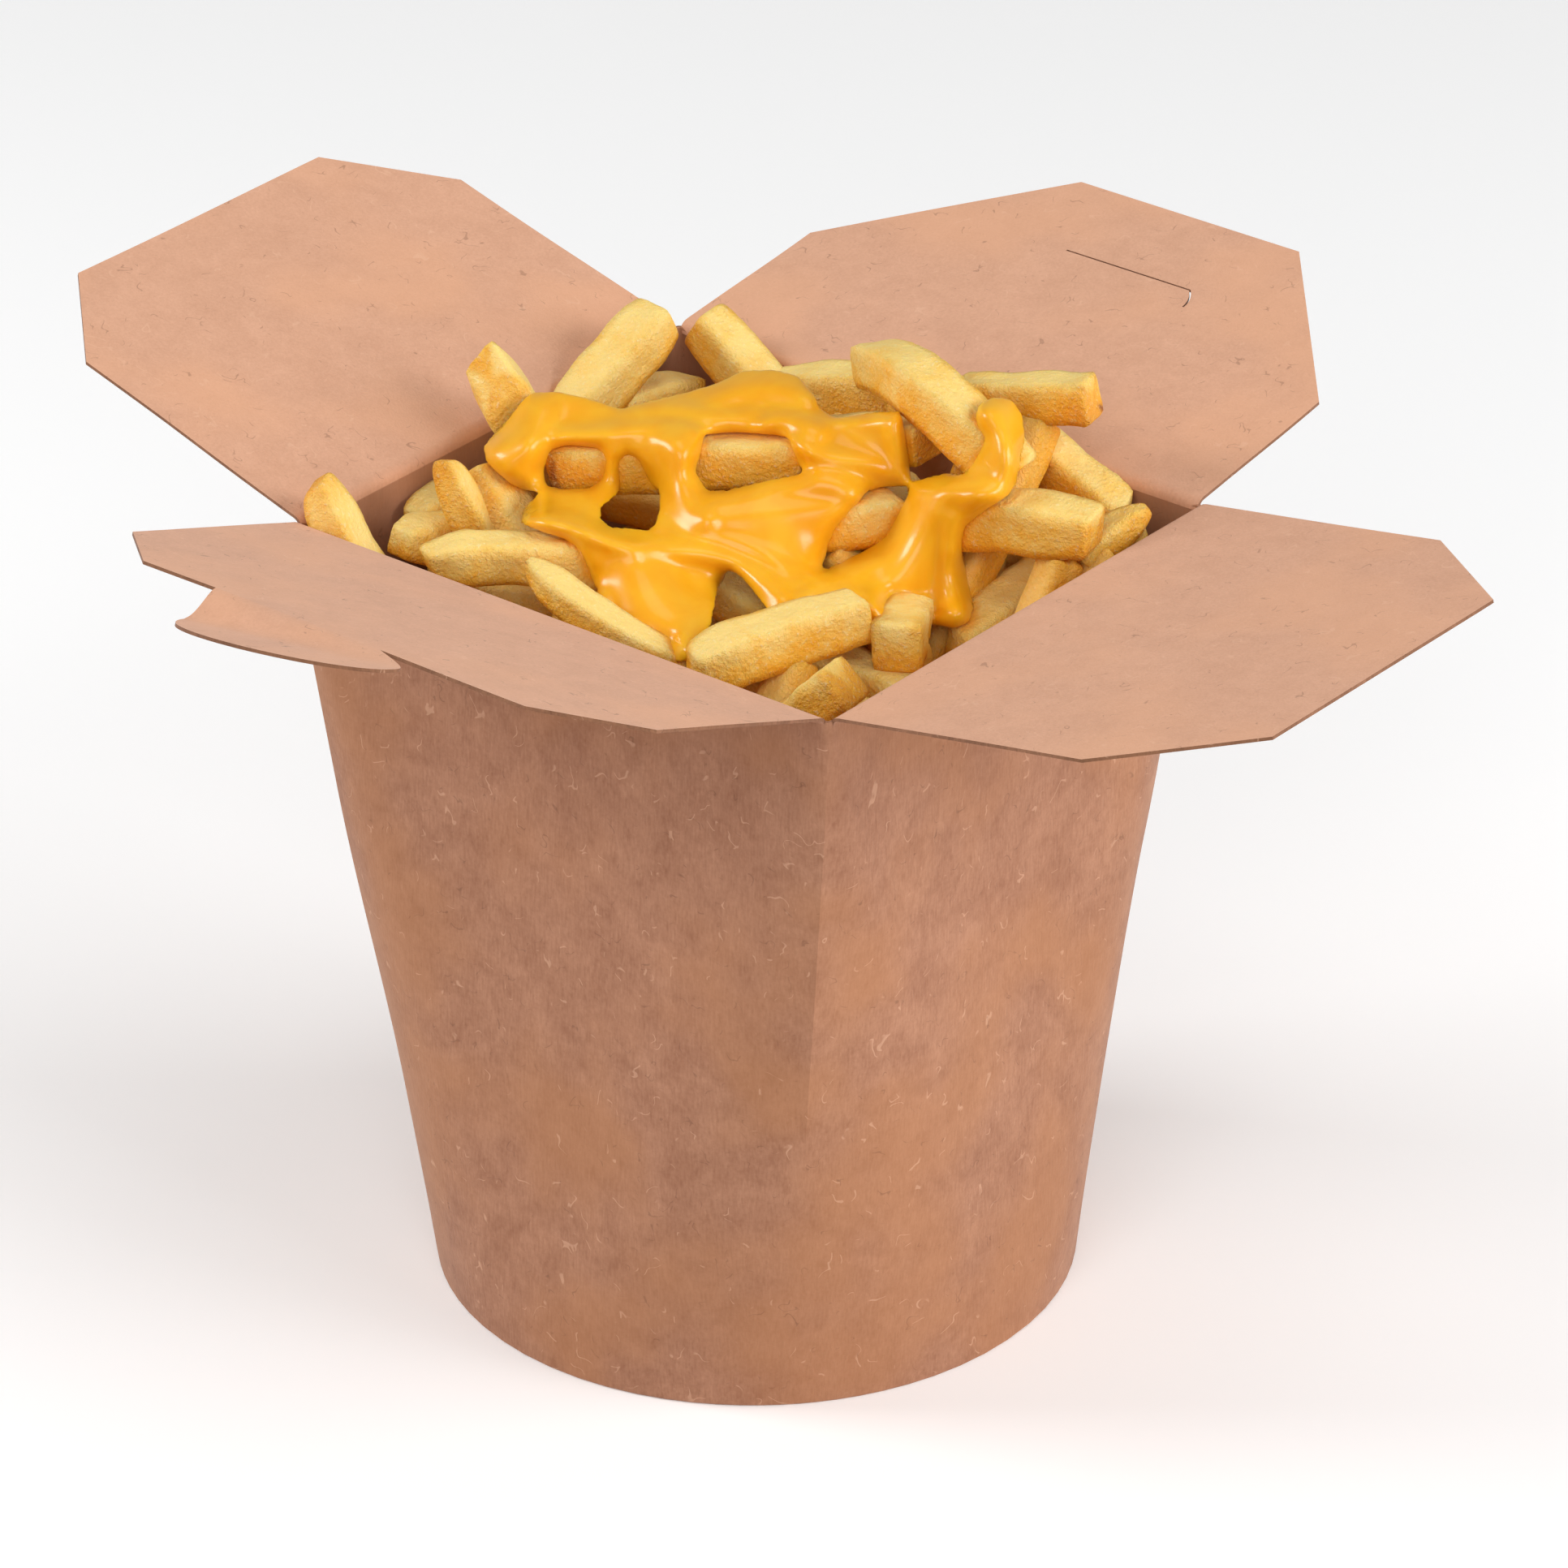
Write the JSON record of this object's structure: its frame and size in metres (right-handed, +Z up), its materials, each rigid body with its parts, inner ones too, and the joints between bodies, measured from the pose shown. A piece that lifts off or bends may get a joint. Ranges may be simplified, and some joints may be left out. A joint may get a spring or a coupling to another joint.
{
  "type": "noodle takeaway box filled with fries and cheese sauce",
  "caption": "Open kraft paperboard takeaway box, round at its base and rectangular at its rim, with four folded-out lid flaps, heaped with fries under a thick cheese sauce.",
  "frame": {"origin": "centre of the underside of the base", "axes": "+Z up out of the open box, +X towards one plain flap, -Y towards the tab flap and +Y towards the slot flap"},
  "size_m": [0.2215, 0.2133, 0.1442],
  "materials": {
    "kraft_outside": "matte",
    "kraft_inside": "matte",
    "fried_potato": "satin",
    "cheese_sauce": "gloss"
  },
  "bodies": {
    "box": {"cup": "kraft_outside", "fries": "fried_potato", "cheese_sauce": "cheese_sauce"},
    "slot_flap": {"flap_slot": "kraft_inside"},
    "tab_flap": {"flap_tab": "kraft_inside"},
    "left_flap": {"flap_plain_left": "kraft_inside"},
    "right_flap": {"flap_plain_right": "kraft_inside"}
  },
  "joints": [
    {"name": "slot_flap_crease", "type": "hinge", "parent": "box", "child": "slot_flap", "pos_m": [0, 0.0438, 0.123], "axis": [1, 0, 0], "range_deg": [-88.1, 81.9]},
    {"name": "tab_flap_crease", "type": "hinge", "parent": "box", "child": "tab_flap", "pos_m": [0, -0.0438, 0.123], "axis": [-1, 0, 0], "range_deg": [-99.6, 70.4]},
    {"name": "left_flap_crease", "type": "hinge", "parent": "box", "child": "left_flap", "pos_m": [-0.0502, 0, 0.123], "axis": [0, 1, 0], "range_deg": [-96.3, 73.7]},
    {"name": "right_flap_crease", "type": "hinge", "parent": "box", "child": "right_flap", "pos_m": [0.0502, 0, 0.123], "axis": [0, -1, 0], "range_deg": [-89.9, 80.1]}
  ]
}
